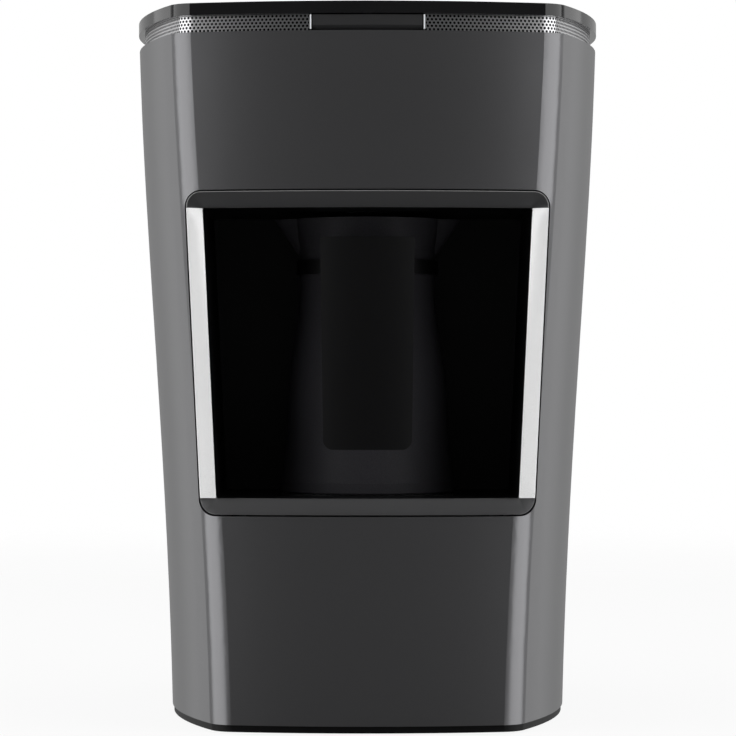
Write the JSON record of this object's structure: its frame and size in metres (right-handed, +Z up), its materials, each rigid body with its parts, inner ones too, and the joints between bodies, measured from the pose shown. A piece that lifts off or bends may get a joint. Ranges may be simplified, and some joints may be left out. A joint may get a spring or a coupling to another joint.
{
  "type": "electric turkish coffee maker",
  "caption": "Tapered countertop coffee maker with a framed chamber holding a handled double-spout pot on a hotplate, under a hinged gloss lid with a punched metal band and a front push button.",
  "frame": {"origin": "middle of the footprint, on the surface it stands on", "axes": "+Z up, -Y out of the front with the pot and button, +X to the right seen from the front"},
  "size_m": [0.1676, 0.17, 0.25],
  "materials": {
    "painted_shell": "satin anthracite metallic paint",
    "polished_trim": "polished",
    "gloss_black": "piano black",
    "matte_black": "moulded black",
    "band_steel": "punched and brushed",
    "button_grey": "satin dark grey",
    "pot_coating": "dark coating",
    "steel": "brushed",
    "bright_steel": "bright",
    "rubber": "matt",
    "silicone": "matt",
    "aluminium": "cast",
    "circuit_board": "solder mask",
    "component_black": "moulded",
    "component_white": "moulded",
    "clear_lens": "clear",
    "lead_sheath": "silicone sheath",
    "brass": "plain",
    "light_guide": "frosted"
  },
  "bodies": {
    "housing": {"outer_casing": "painted_shell", "base_plate": "matte_black", "rubber_feet": "rubber", "base_screws": "steel", "bezel_trim": "polished_trim", "trim_screws": "steel", "chamber_liner": "matte_black", "sensor_window": "clear_lens", "sensor_board": "circuit_board", "foam_sensors": "component_black", "sensor_screws": "steel", "hotplate": "aluminium", "hotplate_seal": "silicone", "heating_element": "steel", "hotplate_studs": "steel", "stud_nuts": "steel", "heat_shield": "aluminium", "shield_screws": "steel", "temperature_sensor": "brass", "thermal_fuse": "component_white", "support_bracket": "steel", "bracket_screws": "steel", "control_board": "circuit_board", "board_screws": "steel", "transformer": "component_black", "relay": "component_black", "capacitor": "component_black", "buzzer": "component_black", "board_connectors": "component_white", "terminal_block": "component_white", "terminal_screws": "brass", "inlet_insert": "matte_black", "cable_gland": "rubber", "mains_leads": "lead_sheath", "heater_leads": "lead_sheath", "temperature_lead": "lead_sheath", "button_lead": "lead_sheath", "foam_sensor_lead": "lead_sheath", "top_deck": "matte_black", "deck_screws": "steel", "perforated_band_left": "band_steel", "perforated_band_right": "band_steel", "lid_hinge_pins": "steel", "lid_pads": "silicone", "button_light_guides": "light_guide", "button_board": "circuit_board", "tact_switch": "component_black", "status_leds": "light_guide", "measuring_spoon": "matte_black"},
    "pot": {"pot_body": "pot_coating", "pot_base": "pot_coating", "pot_handle": "matte_black", "handle_inlay": "bright_steel", "handle_bracket": "steel", "handle_screw": "steel"},
    "lid_body": {"lid": "gloss_black"},
    "button": {"start_button": "button_grey"}
  },
  "joints": [
    {"name": "pot_pull", "type": "slide", "parent": "housing", "child": "pot", "axis": [0, -1, 0], "range_m": [0, 0.17]},
    {"name": "lid_hinge", "type": "hinge", "parent": "housing", "child": "lid_body", "pos_m": [0, 0.082, 0.2468], "axis": [-1, 0, 0], "range_deg": [0, 95]},
    {"name": "button_press", "type": "slide", "parent": "housing", "child": "button", "axis": [0, 1, 0], "range_m": [0, 0.0012], "stiffness_N_per_m": 600, "springref_m": -0.001}
  ]
}
